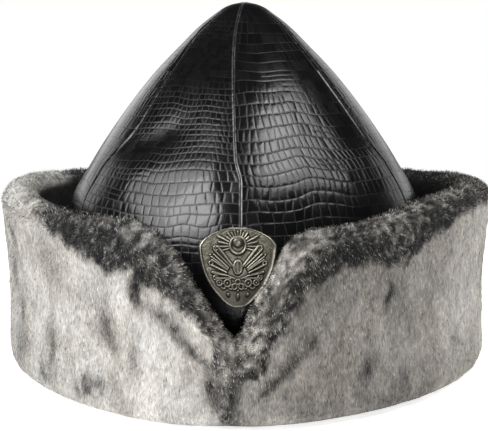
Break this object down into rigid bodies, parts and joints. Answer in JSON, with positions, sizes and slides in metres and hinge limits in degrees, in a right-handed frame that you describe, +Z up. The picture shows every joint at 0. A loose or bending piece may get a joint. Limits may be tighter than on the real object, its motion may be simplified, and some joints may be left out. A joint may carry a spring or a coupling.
{
  "type": "fur-cuffed leather hat",
  "caption": "Conical hat of embossed leather gores with a turned-up short-pile fur cuff, a V notch in front and a cast badge above it.",
  "frame": {"origin": "centre of the hat's bounding box, on the surface that the hat stands on", "axes": "+Z up to the tip of the crown, -Y towards the front with the V and the badge, +X to the wearer's left"},
  "size_m": [0.2228, 0.2572, 0.1619],
  "materials": {
    "embossed_leather": "black, embossed with reptile scales, semi-gloss",
    "grey_fur": "short dense grey pile with dark roots, matt",
    "black_facing": "black woven cloth, matt",
    "aged_pewter": "cast, aged, greyish, rubbed bright on the relief",
    "clutch_steel": "plain"
  },
  "bodies": {
    "root": {"crown_gore_front_left": "embossed_leather", "crown_gore_front_right": "embossed_leather", "crown_gore_left": "embossed_leather", "crown_gore_right": "embossed_leather", "crown_gore_back_left": "embossed_leather", "crown_gore_back_right": "embossed_leather", "fur_cuff": "grey_fur", "cuff_facing": "black_facing", "badge": "aged_pewter", "badge_clutch": "clutch_steel"}
  },
  "joints": []
}
